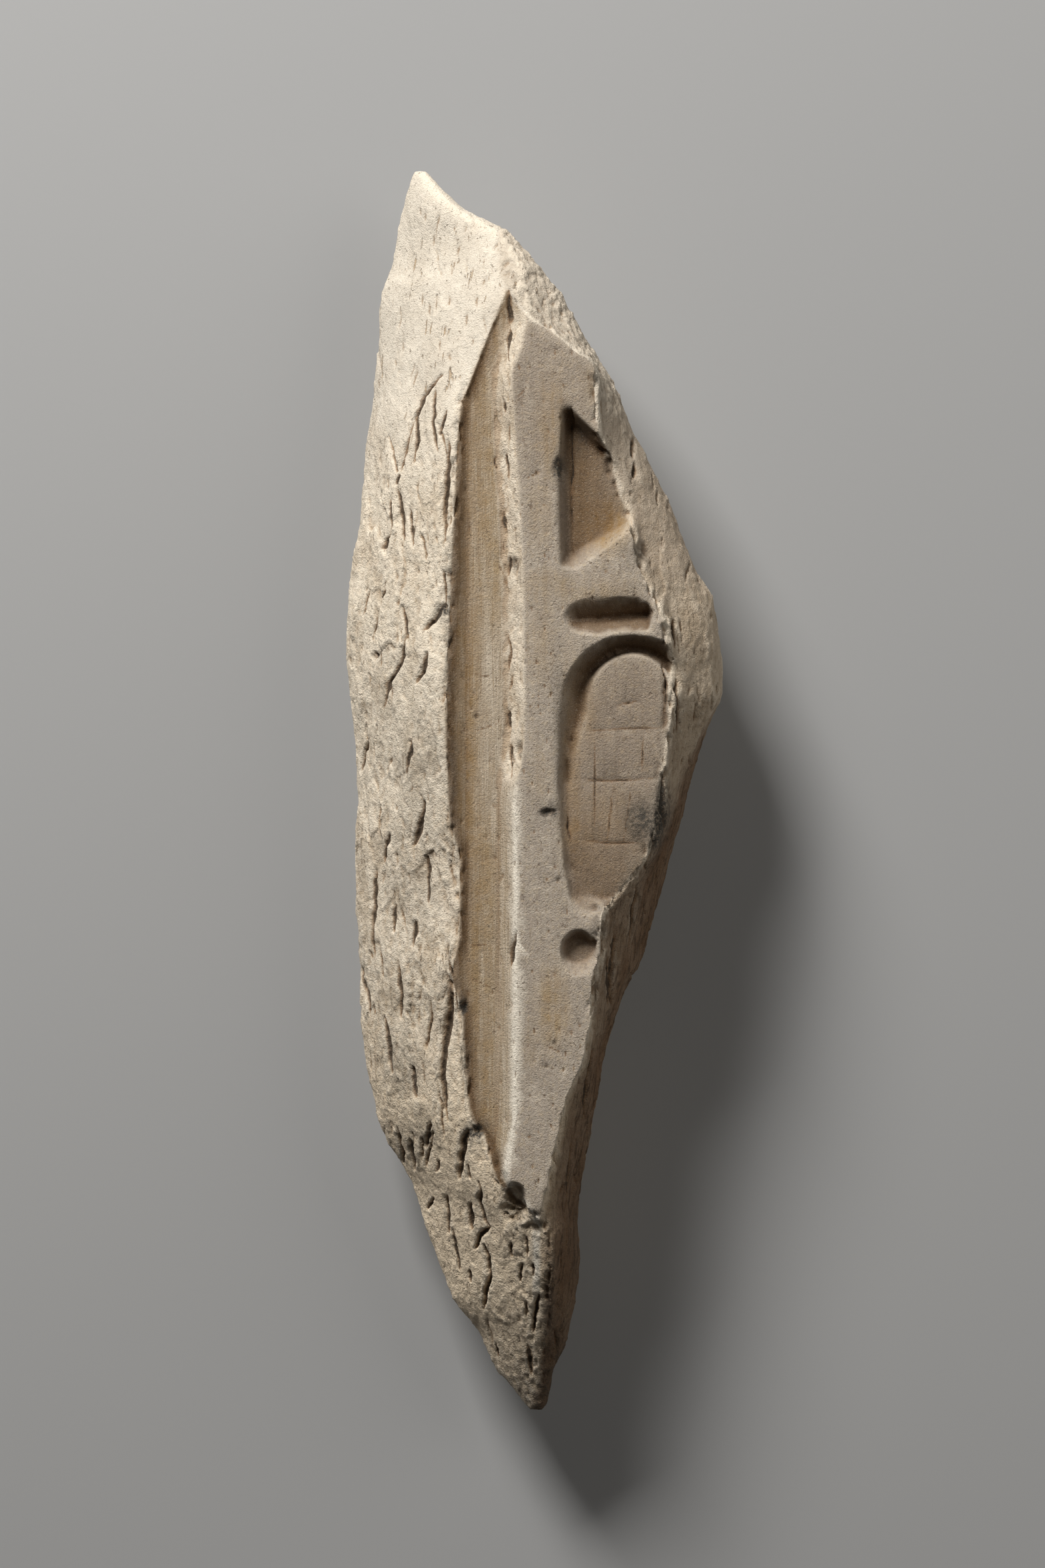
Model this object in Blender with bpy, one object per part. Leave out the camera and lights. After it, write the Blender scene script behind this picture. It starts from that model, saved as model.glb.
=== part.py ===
"""A broken piece of carved limestone wall, lying on its back with the carved face up.

The length runs along Y, the head of the piece towards +Y, and the carved face looks along +Z.
The stone is a loft: nine lines run along it from foot to head, and a closed section joins them
at every station. The signs cut into the face are Boolean cutters with sloping walls.
"""

import math

import bmesh
import bpy
from mathutils import Vector, noise

MM = 0.001

# Overall sizes of the stone.
LENGTH = 300 * MM
WIDTH = 91.5 * MM
THICKNESS = 52 * MM

# The long channel beside the carved face.
CHANNEL_DEPTH = 4.5 * MM
CHANNEL_FLOOR_LEFT = 13.4 * MM
CHANNEL_WALL_RUN = 0.6 * MM
CHANNEL_RIGHT_SLOPE = 0.9

# The wedge-shaped sign, open at the break.
WEDGE_LENGTH = 40.4 * MM
WEDGE_REACH = 19.2 * MM
WEDGE_DEPTH = 6.0 * MM

# The bar-shaped sign.
BAR_LENGTH = 22.2 * MM
BAR_WIDTH = 9.4 * MM
BAR_DEPTH = 4.8 * MM

# The arched sign: a deep groove round a raised panel.
ARCH_RADIUS = 17.5 * MM
ARCH_LEG = 44.0 * MM
ARCH_FOOT = 7.6 * MM
PANEL_HALF_WIDTH = 10.7 * MM
PANEL_RISE = 13.2 * MM
PANEL_DEPTH = 2.8 * MM
GROOVE_DEPTH = 5.6 * MM

# Across the groove, from its outer edge: where its slope ends and where its valley ends.
SLOPE_SHARE = 0.60
VALLEY_SHARE = 0.80

# The small rounded sign.
ROUND_WIDTH = 9.2 * MM
ROUND_LENGTH = 11.6 * MM
ROUND_DEPTH = 3.4 * MM

# The hollow at the foot of the channel.
HOLLOW_WIDTH = 6.6 * MM
HOLLOW_LENGTH = 8.4 * MM
HOLLOW_DEPTH = 4.2 * MM

# How rough the broken surfaces are, and how far apart the lumps lie.
ROUGHNESS = 0.65 * MM
LUMP_SPACING = 9 * MM

# Near the pointed ends, where the stone is narrower than this, the lumps get lower.
CALM_GIRTH = 30 * MM

# How far the unworn back would reach below the spot that it lies on.
BACK_OVERREACH = 1.6 * MM

# A cutter stands this far above the carved face.
CUTTER_CLEARANCE = 3 * MM

STATIONS = 68
END_CROWDING_SHARE = 0.45

STONE_COLOUR = (0.66, 0.58, 0.46, 1.0)
STONE_ROUGHNESS = 0.9

# Each line runs from the foot to the head. A point is (share of the length from the foot,
# share of the width to the right of the channel's right-hand arris, share of the thickness
# below the carved face).
LEFT_OUTLINE = (
    (0.000, 0.018, 0.56), (0.013, -0.014, 0.56), (0.031, -0.069, 0.58), (0.067, -0.126, 0.60),
    (0.086, -0.188, 0.60), (0.141, -0.250, 0.60), (0.178, -0.289, 0.62), (0.198, -0.323, 0.62),
    (0.222, -0.374, 0.62), (0.266, -0.409, 0.62), (0.306, -0.428, 0.63), (0.387, -0.445, 0.63),
    (0.497, -0.440, 0.63), (0.558, -0.456, 0.63), (0.600, -0.470, 0.63), (0.640, -0.471, 0.63),
    (0.673, -0.456, 0.63), (0.736, -0.431, 0.63), (0.779, -0.421, 0.63), (0.819, -0.398, 0.63),
    (0.894, -0.379, 0.63), (0.909, -0.371, 0.63), (0.923, -0.348, 0.63), (0.963, -0.328, 0.62),
    (0.984, -0.308, 0.60), (1.000, -0.290, 0.58),
)
CHANNEL_EDGE = (
    (0.000, 0.026, 0.540), (0.027, 0.014, 0.47), (0.092, 0.040, 0.24), (0.136, 0.046, 0.095),
    (0.164, 0.006, 0.060), (0.176, -0.040, 0.062), (0.191, -0.072, 0.066), (0.223, -0.096, 0.066),
    (0.238, -0.137, 0.066), (0.276, -0.149, 0.064), (0.306, -0.155, 0.064), (0.328, -0.158, 0.056),
    (0.350, -0.190, 0.040), (0.384, -0.165, 0.052), (0.446, -0.163, 0.050), (0.477, -0.192, 0.030),
    (0.542, -0.201, 0.015), (0.606, -0.197, 0.015), (0.673, -0.187, 0.020), (0.778, -0.170, 0.046),
    (0.807, -0.163, 0.058), (0.856, -0.102, 0.065), (0.897, -0.047, 0.070), (0.925, -0.062, 0.150),
    (0.947, -0.105, 0.240), (0.963, -0.185, 0.330), (0.980, -0.236, 0.420), (1.000, -0.277, 0.535),
)
FACE_LEFT = (
    (0.000, 0.036, 0.530), (0.027, 0.030, 0.455), (0.048, 0.053, 0.385), (0.092, 0.070, 0.230),
    (0.109, 0.073, 0.154), (0.136, 0.073, 0.077), (0.160, 0.034, 0.012), (0.171, 0.004, 0.0),
    (0.182, -0.030, 0.0), (0.191, -0.047, 0.0), (0.203, -0.038, 0.0), (0.235, -0.022, 0.0),
    (0.343, -0.019, 0.0), (0.507, -0.019, 0.0), (0.520, -0.005, 0.0), (0.553, 0.003, 0.0),
    (0.671, 0.000, 0.0), (0.747, -0.014, 0.0), (0.789, -0.022, 0.0), (0.833, -0.031, 0.0),
    (0.854, -0.007, 0.0), (0.876, 0.010, 0.004), (0.899, -0.002, 0.058), (0.925, -0.014, 0.125),
    (0.947, -0.060, 0.210), (0.963, -0.160, 0.305), (0.980, -0.222, 0.405), (1.000, -0.270, 0.525),
)
FACE_RIGHT = (
    (0.000, 0.040, 0.530), (0.027, 0.040, 0.455), (0.048, 0.060, 0.385), (0.109, 0.082, 0.154),
    (0.136, 0.082, 0.077), (0.164, 0.050, 0.008), (0.175, 0.059, 0.0), (0.218, 0.088, 0.0),
    (0.256, 0.116, 0.0), (0.279, 0.157, 0.0), (0.300, 0.170, 0.0), (0.350, 0.186, 0.0),
    (0.370, 0.208, 0.0), (0.398, 0.202, 0.0), (0.410, 0.226, 0.0), (0.442, 0.316, 0.0),
    (0.460, 0.338, 0.0), (0.483, 0.352, 0.0), (0.512, 0.361, 0.0), (0.546, 0.380, 0.0),
    (0.603, 0.386, 0.0), (0.620, 0.380, 0.0), (0.646, 0.356, 0.0), (0.678, 0.311, 0.0),
    (0.710, 0.287, 0.0), (0.766, 0.222, 0.0), (0.789, 0.196, 0.0), (0.841, 0.194, 0.0), (0.848, 0.152, 0.0),
    (0.868, 0.071, 0.0), (0.876, 0.022, 0.004), (0.899, 0.008, 0.058), (0.925, -0.004, 0.125),
    (0.947, -0.052, 0.212), (0.963, -0.154, 0.308), (0.980, -0.217, 0.407), (1.000, -0.266, 0.525),
)
RIGHT_SHOULDER = (
    (0.000, 0.045, 0.532), (0.043, 0.071, 0.430), (0.070, 0.097, 0.380), (0.109, 0.114, 0.270),
    (0.145, 0.112, 0.150), (0.171, 0.089, 0.115), (0.256, 0.149, 0.100), (0.279, 0.180, 0.115),
    (0.354, 0.222, 0.115), (0.388, 0.234, 0.115), (0.410, 0.264, 0.120), (0.442, 0.340, 0.130),
    (0.460, 0.362, 0.130), (0.515, 0.390, 0.115), (0.588, 0.410, 0.085), (0.646, 0.384, 0.085),
    (0.710, 0.309, 0.105), (0.766, 0.236, 0.085),
    (0.811, 0.207, 0.050), (0.841, 0.202, 0.040), (0.858, 0.140, 0.080), (0.876, 0.085, 0.100),
    (0.899, 0.050, 0.120), (0.925, 0.012, 0.170), (0.947, -0.042, 0.235), (0.963, -0.149, 0.315),
    (0.980, -0.213, 0.412), (1.000, -0.262, 0.528),
)
RIGHT_RIDGE = (
    (0.000, 0.050, 0.538), (0.055, 0.104, 0.440), (0.125, 0.137, 0.350), (0.175, 0.122, 0.290),
    (0.236, 0.165, 0.250), (0.300, 0.210, 0.250), (0.352, 0.266, 0.325), (0.420, 0.326, 0.350),
    (0.446, 0.362, 0.360), (0.481, 0.404, 0.370), (0.518, 0.440, 0.350), (0.547, 0.478, 0.320),
    (0.571, 0.505, 0.275), (0.625, 0.490, 0.220), (0.656, 0.450, 0.200), (0.702, 0.385, 0.195),
    (0.737, 0.340, 0.190), (0.784, 0.265, 0.170),
    (0.825, 0.225, 0.150), (0.848, 0.190, 0.170), (0.876, 0.130, 0.160), (0.899, 0.085, 0.170),
    (0.925, 0.022, 0.200), (0.947, -0.035, 0.245), (0.963, -0.145, 0.325), (0.980, -0.209, 0.420),
    (1.000, -0.258, 0.536),
)
RIGHT_OUTLINE = (
    (0.000, 0.056, 0.56), (0.008, 0.071, 0.56), (0.034, 0.085, 0.54), (0.052, 0.122, 0.52),
    (0.086, 0.141, 0.50), (0.121, 0.160, 0.48), (0.141, 0.148, 0.46), (0.170, 0.148, 0.42),
    (0.201, 0.161, 0.38), (0.236, 0.186, 0.38), (0.275, 0.208, 0.42), (0.309, 0.235, 0.48),
    (0.335, 0.267, 0.54), (0.359, 0.315, 0.60), (0.381, 0.333, 0.62), (0.427, 0.383, 0.63),
    (0.479, 0.427, 0.62), (0.519, 0.458, 0.58), (0.547, 0.490, 0.50), (0.571, 0.528, 0.42),
    (0.625, 0.527, 0.38), (0.656, 0.505, 0.36), (0.676, 0.457, 0.34), (0.702, 0.430, 0.34),
    (0.737, 0.382, 0.33), (0.762, 0.343, 0.31), (0.784, 0.297, 0.31), (0.825, 0.243, 0.27),
    (0.848, 0.202, 0.23), (0.896, 0.110, 0.24), (0.922, 0.038, 0.24), (0.947, -0.025, 0.27),
    (0.963, -0.126, 0.35), (0.980, -0.201, 0.44), (1.000, -0.252, 0.55),
)
BACK_RIGHT = (
    (0.000, 0.048, 0.62), (0.090, 0.080, 0.79), (0.180, 0.080, 0.90), (0.280, 0.090, 0.965),
    (0.360, 0.150, 1.0), (0.520, 0.270, 0.99), (0.640, 0.290, 0.985), (0.760, 0.180, 0.955),
    (0.850, 0.060, 0.90), (0.920, -0.060, 0.83), (0.960, -0.165, 0.76), (1.000, -0.258, 0.64),
)
BACK_LEFT = (
    (0.000, 0.024, 0.63), (0.090, -0.040, 0.81), (0.180, -0.130, 0.93), (0.280, -0.190, 0.98),
    (0.400, -0.240, 1.0), (0.640, -0.250, 1.0), (0.760, -0.240, 0.965), (0.850, -0.245, 0.92),
    (0.920, -0.262, 0.85), (0.960, -0.270, 0.78), (1.000, -0.276, 0.66),
)

# Where the carved work begins and ends along the stone.
CARVED_FOOT_SHARE = 0.190
CARVED_HEAD_SHARE = 0.880
CARVED_FADE_SHARE = 0.020

# Each sign's own reference point on the face, as shares of the length and the width.
WEDGE_APEX = (0.8125, 0.103)
BAR_TIP = (0.640, 0.1056)
ARCH_CENTRE = (0.5674, 0.2873)
ROUND_CENTRE = (0.3705, 0.148)
HOLLOW_CENTRE = (0.174, -0.022)


def clear_scene():
    for obj in list(bpy.data.objects):
        bpy.data.objects.remove(obj)


def follow(line, share):
    """The line's place at a share of the length: how far right and how far down."""
    for low, high in zip(line, line[1:]):
        if share <= high[0]:
            part = (share - low[0]) / (high[0] - low[0])
            return (
                (low[1] + (high[1] - low[1]) * part) * WIDTH,
                (low[2] + (high[2] - low[2]) * part) * THICKNESS,
            )
    return line[-1][1] * WIDTH, line[-1][2] * THICKNESS


def bowed(start, end, count, bow):
    """Points from start up to but not at end. A bow over 1 leaves start steeply and bulges out."""
    points = []
    for step in range(count):
        part = step / count
        points.append(
            (
                start[0] + (end[0] - start[0]) * part**bow,
                start[1] + (end[1] - start[1]) * (1 - (1 - part) ** bow),
            )
        )
    return points


def bowed_to(start, end, count, bow):
    """As bowed, but the steep end is the one it arrives at."""
    back = bowed(end, start, count, bow) + [start]
    return back[:0:-1]


def eased(value, low, high):
    part = min(1.0, max(0.0, (value - low) / (high - low)))
    return part * part * (3 - 2 * part)


def carved_share(share):
    """1 where the face and the channel are worked, fading to 0 on the breaks beyond."""
    return eased(share, CARVED_FOOT_SHARE - CARVED_FADE_SHARE, CARVED_FOOT_SHARE) * (
        1 - eased(share, CARVED_HEAD_SHARE, CARVED_HEAD_SHARE + CARVED_FADE_SHARE)
    )


def between(start, end, part):
    return tuple(a + (b - a) * part for a, b in zip(start, end))


def channel_feet(share, edge, arris):
    """The two corners of the channel's floor, which run out level with the breaks at its ends."""
    left = max(-CHANNEL_FLOOR_LEFT, edge[0] + CHANNEL_WALL_RUN)
    right = max(left + CHANNEL_WALL_RUN, arris[0] - CHANNEL_DEPTH * CHANNEL_RIGHT_SLOPE)
    right = min(right, arris[0] - CHANNEL_WALL_RUN / 2)
    left = min(left, (edge[0] + right) / 2)
    worked = carved_share(share)
    return (
        between(between(edge, arris, 1 / 3), (left, CHANNEL_DEPTH), worked),
        between(between(edge, arris, 2 / 3), (right, CHANNEL_DEPTH), worked),
    )


def section(share):
    """One closed section of the stone, as (right, down) points with the share that is rough."""
    outline = follow(LEFT_OUTLINE, share)
    edge = follow(CHANNEL_EDGE, share)
    arris = follow(FACE_LEFT, share)
    foot_left, foot_right = channel_feet(share, edge, arris)
    face_right = follow(FACE_RIGHT, share)
    shoulder = follow(RIGHT_SHOULDER, share)
    ridge = follow(RIGHT_RIDGE, share)
    reach = follow(RIGHT_OUTLINE, share)
    back_right = follow(BACK_RIGHT, share)
    back_left = follow(BACK_LEFT, share)
    broken = 1.0
    worked = 1 - carved_share(share)
    sides = (
        (bowed(outline, edge, 9, 1.22), broken),
        (bowed(edge, foot_left, 1, 1), worked),
        (bowed(foot_left, foot_right, 2, 1), worked),
        (bowed(foot_right, arris, 2, 1), worked),
        (bowed(arris, face_right, 5, 1), worked),
        (bowed(face_right, shoulder, 1, 1), worked),
        (bowed(shoulder, ridge, 3, 1), broken),
        (bowed_to(ridge, reach, 2, 1.15), broken),
        (bowed(reach, back_right, 5, 1.35), broken),
        (bowed(back_right, back_left, 4, 1), broken),
        (bowed_to(back_left, outline, 5, 1.35), broken),
    )
    return [(point, rough) for points, rough in sides for point in points]


def sunk_under(point):
    """The back reaches on below the spot that it lies on, and is cut off there afterwards."""
    right, down = point
    return right, down + BACK_OVERREACH * eased(down, 0.9 * THICKNESS, THICKNESS)


def stone_ring(mesh, share):
    ring = []
    points = section(share)
    middle = Vector((sum(p[0] for p, _ in points), sum(p[1] for p, _ in points))) / len(points)
    girth = max(p[0] for p, _ in points) - min(p[0] for p, _ in points)
    calm = eased(girth, ROUGHNESS, CALM_GIRTH)
    for point, rough in points:
        right, down = sunk_under(point)
        place = Vector((right, share * LENGTH, THICKNESS - down))
        outward = Vector((right - middle[0], 0, middle[1] - down))
        if rough and outward.length:
            lump = noise.noise(place / LUMP_SPACING) + 0.5 * noise.noise(place * 2.3 / LUMP_SPACING)
            place += outward.normalized() * lump * rough * calm * ROUGHNESS
        ring.append(mesh.verts.new(place))
    return ring


def station_share(station):
    """Stations crowd towards both ends, where the sections change fastest."""
    even = station / (STATIONS - 1)
    return even - END_CROWDING_SHARE * math.sin(2 * math.pi * even) / (2 * math.pi)


def lay_flat(mesh):
    """Takes off what reaches below the ground, which leaves the flat spot that the stone lies on."""
    cut = bmesh.ops.bisect_plane(
        mesh,
        geom=mesh.verts[:] + mesh.edges[:] + mesh.faces[:],
        plane_co=(0, 0, 0),
        plane_no=(0, 0, -1),
        clear_outer=True,
    )
    rim = [item for item in cut["geom_cut"] if isinstance(item, bmesh.types.BMEdge)]
    bmesh.ops.holes_fill(mesh, edges=rim)


def stone_mesh():
    """The lofted stone without its signs."""
    mesh = bmesh.new()
    rings = [stone_ring(mesh, station_share(i)) for i in range(STATIONS)]
    for low, high in zip(rings, rings[1:]):
        for i in range(len(low)):
            mesh.faces.new((low[i - 1], low[i], high[i], high[i - 1]))
    for ring in (rings[0], rings[-1]):
        mesh.faces.new(ring)
    bmesh.ops.triangulate(mesh, faces=[face for face in mesh.faces if len(face.verts) > 4])
    bmesh.ops.recalc_face_normals(mesh, faces=mesh.faces)
    lay_flat(mesh)
    bmesh.ops.recalc_face_normals(mesh, faces=mesh.faces)
    data = bpy.data.meshes.new("relief_fragment")
    mesh.to_mesh(data)
    mesh.free()
    return data


def on_face(reference):
    """A reference point of the carved face, from its shares of the length and the width."""
    share, right = reference
    return Vector((right * WIDTH, share * LENGTH, 0))


def loft_cutter(name, rings, reference):
    """A closed cutter through rings of points, given right, up and below the face."""
    mesh = bmesh.new()
    origin = on_face(reference)
    made = [
        [mesh.verts.new(origin + Vector((x, y, THICKNESS - depth))) for x, y, depth in ring]
        for ring in rings
    ]
    for low, high in zip(made, made[1:]):
        for i in range(len(low)):
            mesh.faces.new((low[i - 1], low[i], high[i], high[i - 1]))
    for ring in (made[0], made[-1]):
        mesh.faces.new(ring)
    bmesh.ops.triangulate(mesh, faces=mesh.faces)
    bmesh.ops.recalc_face_normals(mesh, faces=mesh.faces)
    data = bpy.data.meshes.new(name)
    mesh.to_mesh(data)
    mesh.free()
    return bpy.data.objects.new(name, data)


def sunk_cutter(name, rim, floor, reference):
    """A cutter with sloping walls: rim is its outline on the face, floor its points and depths."""
    top = []
    for (x, y), (floor_x, floor_y, depth) in zip(rim, floor):
        spread = CUTTER_CLEARANCE / depth
        top.append((x + (x - floor_x) * spread, y + (y - floor_y) * spread, -CUTTER_CLEARANCE))
    return loft_cutter(name, (top, floor), reference)


def wedge_cutter():
    """A wedge with an upright left wall, whose right-hand end is lost with the break."""
    rim = ((0, 0), (1, -0.452), (1, -0.744), (0.26, -0.99), (-0.03, -1))
    floor = (
        (0.08, -0.115, 0.92), (1, -0.545, 1.0), (1, -0.667, 0.72),
        (0.30, -0.865, 0.68), (0.085, -0.93, 0.66),
    )
    return sunk_cutter(
        "wedge_cutter",
        [(x * WEDGE_REACH, y * WEDGE_LENGTH) for x, y in rim],
        [(x * WEDGE_REACH, y * WEDGE_LENGTH, z * WEDGE_DEPTH) for x, y, z in floor],
        WEDGE_APEX,
    )


def bar_cutter():
    """A bar with a blunt left end and a valley that climbs a little to the right."""
    rim = (
        (0, 0), (0.06, 0.25), (0.14, 0.37), (0.32, 0.46), (0.60, 0.51), (0.80, 0.50), (0.92, 0.37),
        (1.0, 0.10), (0.93, -0.44), (0.68, -0.45), (0.40, -0.53), (0.20, -0.49), (0.07, -0.36),
        (0.015, -0.17),
    )
    valley_left, valley_right, rise = 0.16, 0.96, 0.20
    floor = []
    for x, y in rim:
        along = min(valley_right, max(valley_left, x))
        line = -0.12 + rise * (along - valley_left)
        depth = BAR_DEPTH * (0.72 + 0.28 * eased(along, valley_left, 0.5))
        floor.append((along * BAR_LENGTH, (line + 0.05 * y) * BAR_WIDTH, depth))
    return sunk_cutter(
        "bar_cutter", [(x * BAR_LENGTH, y * BAR_WIDTH) for x, y in rim], floor, BAR_TIP
    )


def arch_path():
    """Pairs of points up the left leg and round the arch: the groove's outer and inner edges."""
    leg = (
        (-0.84, -1.07, -0.77, -1.07, 0.60), (-0.94, -0.88, -0.80, -0.88, 0.68),
        (-0.99, -0.64, -0.82, -0.64, 0.76), (-1.03, -0.46, -0.84, -0.44, 0.84),
        (-1.01, -0.22, -0.76, -0.22, 0.92),
    )
    pairs = [
        (ox * ARCH_RADIUS, oy * ARCH_LEG, ix * ARCH_RADIUS, iy * ARCH_LEG, deep * GROOVE_DEPTH)
        for ox, oy, ix, iy, deep in leg
    ]
    first, last, turns = 182, 22, 14
    for step in range(turns + 1):
        angle = math.radians(first + (last - first) * step / turns)
        pairs.append(
            (
                ARCH_RADIUS * math.cos(angle),
                ARCH_RADIUS * math.sin(angle),
                PANEL_HALF_WIDTH * math.cos(angle),
                PANEL_RISE * math.sin(angle) - 0.05 * ARCH_RADIUS,
                GROOVE_DEPTH,
            )
        )
    right_end = (1.35 * ARCH_RADIUS, 0.20 * ARCH_RADIUS, 1.2 * ARCH_RADIUS, 0.05 * ARCH_RADIUS)
    pairs.append((*right_end, GROOVE_DEPTH))
    return pairs


def groove_cutter():
    """The deep groove: a long slope down from its outer edge, and a steep rise to the panel."""
    rings = []
    for outer_x, outer_y, inner_x, inner_y, deep in arch_path():
        run_x, run_y = inner_x - outer_x, inner_y - outer_y
        before = -SLOPE_SHARE * CUTTER_CLEARANCE / deep
        rise = (1 - VALLEY_SHARE) / (deep - PANEL_DEPTH)
        beyond = VALLEY_SHARE + rise * (deep + CUTTER_CLEARANCE)
        corners = (
            (before, -CUTTER_CLEARANCE), (SLOPE_SHARE, deep), (VALLEY_SHARE, deep),
            (beyond, -CUTTER_CLEARANCE),
        )
        rings.append([(outer_x + run_x * at, outer_y + run_y * at, down) for at, down in corners])
    return loft_cutter("groove_cutter", rings, ARCH_CENTRE)


def panel_cutter():
    """Brings the panel down below the face, out through the break and to its slanted foot."""
    left_side = [
        (ox + (ix - ox) * VALLEY_SHARE, oy + (iy - oy) * VALLEY_SHARE)
        for ox, oy, ix, iy, _ in arch_path()[:-1]
    ]
    out_right = 1.35 * ARCH_RADIUS
    rim = [
        *left_side,
        (out_right, 0.75 * ARCH_RADIUS),
        (out_right, -0.80 * ARCH_LEG),
        (0.1 * ARCH_RADIUS, -ARCH_LEG),
        (-0.33 * ARCH_RADIUS, -ARCH_LEG - 0.56 * ARCH_FOOT),
        (-0.58 * ARCH_RADIUS, -ARCH_LEG - ARCH_FOOT),
        (-0.75 * ARCH_RADIUS, -ARCH_LEG - 0.75 * ARCH_FOOT),
    ]
    floor_foot = [
        (0.1 * ARCH_RADIUS, -0.96 * ARCH_LEG),
        (-0.33 * ARCH_RADIUS, -ARCH_LEG - 0.25 * ARCH_FOOT),
        (-0.58 * ARCH_RADIUS, -ARCH_LEG - 0.20 * ARCH_FOOT),
        (-0.72 * ARCH_RADIUS, -ARCH_LEG - 0.10 * ARCH_FOOT),
    ]
    floor = [(x, y, PANEL_DEPTH) for x, y in rim[: -len(floor_foot)] + floor_foot]
    return sunk_cutter("panel_cutter", rim, floor, ARCH_CENTRE)


def oval(width, length, sides, turn=0.0):
    angles = [turn + 2 * math.pi * i / sides for i in range(sides)]
    return [(width / 2 * math.cos(a), length / 2 * math.sin(a)) for a in angles]


def round_cutter():
    """A small rounded sign that breaks out at the right."""
    rim = oval(ROUND_WIDTH, ROUND_LENGTH, 18)
    floor = [
        (0.72 * x, 0.52 * y + 0.07 * ROUND_LENGTH, ROUND_DEPTH)
        for x, y in oval(ROUND_WIDTH, ROUND_LENGTH, 18)
    ]
    return sunk_cutter("round_cutter", rim, floor, ROUND_CENTRE)


def hollow_cutter():
    """The rough little hollow where the channel and the face both end."""
    rim = oval(HOLLOW_WIDTH, HOLLOW_LENGTH, 10, turn=0.3)
    floor = [(0.55 * x, 0.55 * y, HOLLOW_DEPTH) for x, y in rim]
    return sunk_cutter("hollow_cutter", rim, floor, HOLLOW_CENTRE)


def stone_material():
    material = bpy.data.materials.new("limestone")
    material.use_nodes = True
    shader = material.node_tree.nodes["Principled BSDF"]
    shader.inputs["Base Color"].default_value = STONE_COLOUR
    shader.inputs["Roughness"].default_value = STONE_ROUGHNESS
    shader.inputs["Metallic"].default_value = 0.0
    return material


def lying_place(data):
    """Puts the origin on the ground, under the middle of the stone."""
    lows = [min(v.co[axis] for v in data.vertices) for axis in range(3)]
    highs = [max(v.co[axis] for v in data.vertices) for axis in range(3)]
    return Vector((-(lows[0] + highs[0]) / 2, -(lows[1] + highs[1]) / 2, -lows[2]))


def build():
    clear_scene()
    parts = bpy.data.collections.new("tomb_relief_fragment")
    helpers = bpy.data.collections.new("cutters")
    for collection in (parts, helpers):
        bpy.context.scene.collection.children.link(collection)
    data = stone_mesh()
    data.materials.append(stone_material())
    stone = bpy.data.objects.new("relief_fragment", data)
    stone.location = lying_place(data)
    parts.objects.link(stone)
    cutters = (
        wedge_cutter(), bar_cutter(), groove_cutter(), panel_cutter(), round_cutter(), hollow_cutter()
    )
    for cutter in cutters:
        cutter.location = stone.location
        cutter.hide_render = True
        cutter.display_type = "WIRE"
        helpers.objects.link(cutter)
        cut = stone.modifiers.new(cutter.name, "BOOLEAN")
        cut.operation = "DIFFERENCE"
        cut.solver = "EXACT"
        cut.object = cutter


build()
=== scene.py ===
"""The fine surface and finish of a broken piece of carved limestone, and a plain stage for it."""

import math

import bmesh
import bpy
import numpy as np
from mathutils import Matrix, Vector, noise
from mathutils.bvhtree import BVHTree


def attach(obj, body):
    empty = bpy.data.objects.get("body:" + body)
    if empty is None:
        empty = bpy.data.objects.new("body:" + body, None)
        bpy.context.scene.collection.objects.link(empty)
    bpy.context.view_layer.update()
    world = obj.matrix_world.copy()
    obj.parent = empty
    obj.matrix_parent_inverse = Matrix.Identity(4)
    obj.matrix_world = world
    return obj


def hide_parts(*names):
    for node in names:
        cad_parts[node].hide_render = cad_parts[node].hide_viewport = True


bl_info = {
    "name": "Tomb relief fragment",
    "version": (1, 0, 0),
    "blender": (4, 5, 0),
    "location": "3D View > Sidebar > Relief",
    "description": "Roughens, cracks and colours a piece of carved limestone",
    "category": "Object",
}

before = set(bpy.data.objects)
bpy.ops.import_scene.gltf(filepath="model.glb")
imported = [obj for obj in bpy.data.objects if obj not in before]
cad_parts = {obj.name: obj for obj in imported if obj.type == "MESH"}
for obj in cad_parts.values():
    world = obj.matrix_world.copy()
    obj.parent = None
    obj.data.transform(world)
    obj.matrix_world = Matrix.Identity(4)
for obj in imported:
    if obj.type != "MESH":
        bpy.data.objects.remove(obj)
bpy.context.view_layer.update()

MM = 0.001
PHOTO_PIXELS = (1568, 2352)
MOST_TRIANGLES = 196000
TRIANGLE_LIMIT = 200000
CRACK_WIDTH_SHARE = 0.8
CRACK_DEPTH_SHARE = 0.9
STREAK_WIDTH = 0.45
STREAK_DEPTH = 0.35

# The stage, in metres. The camera sees FRAMED_LENGTH of the level OUTLINE_HEIGHT, where the stone is widest.
FLOOR_SIZE = 4.0
KEY_PLACE = (-0.50, 1.04, 0.76)
FILL_PLACE = (0.95, 0.45, 0.80)
OUTLINE_HEIGHT = 0.022
FRAMED_LENGTH = 0.3795
PICTURE_MIDDLE = (-2.8 * MM, 1.6 * MM)

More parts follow.
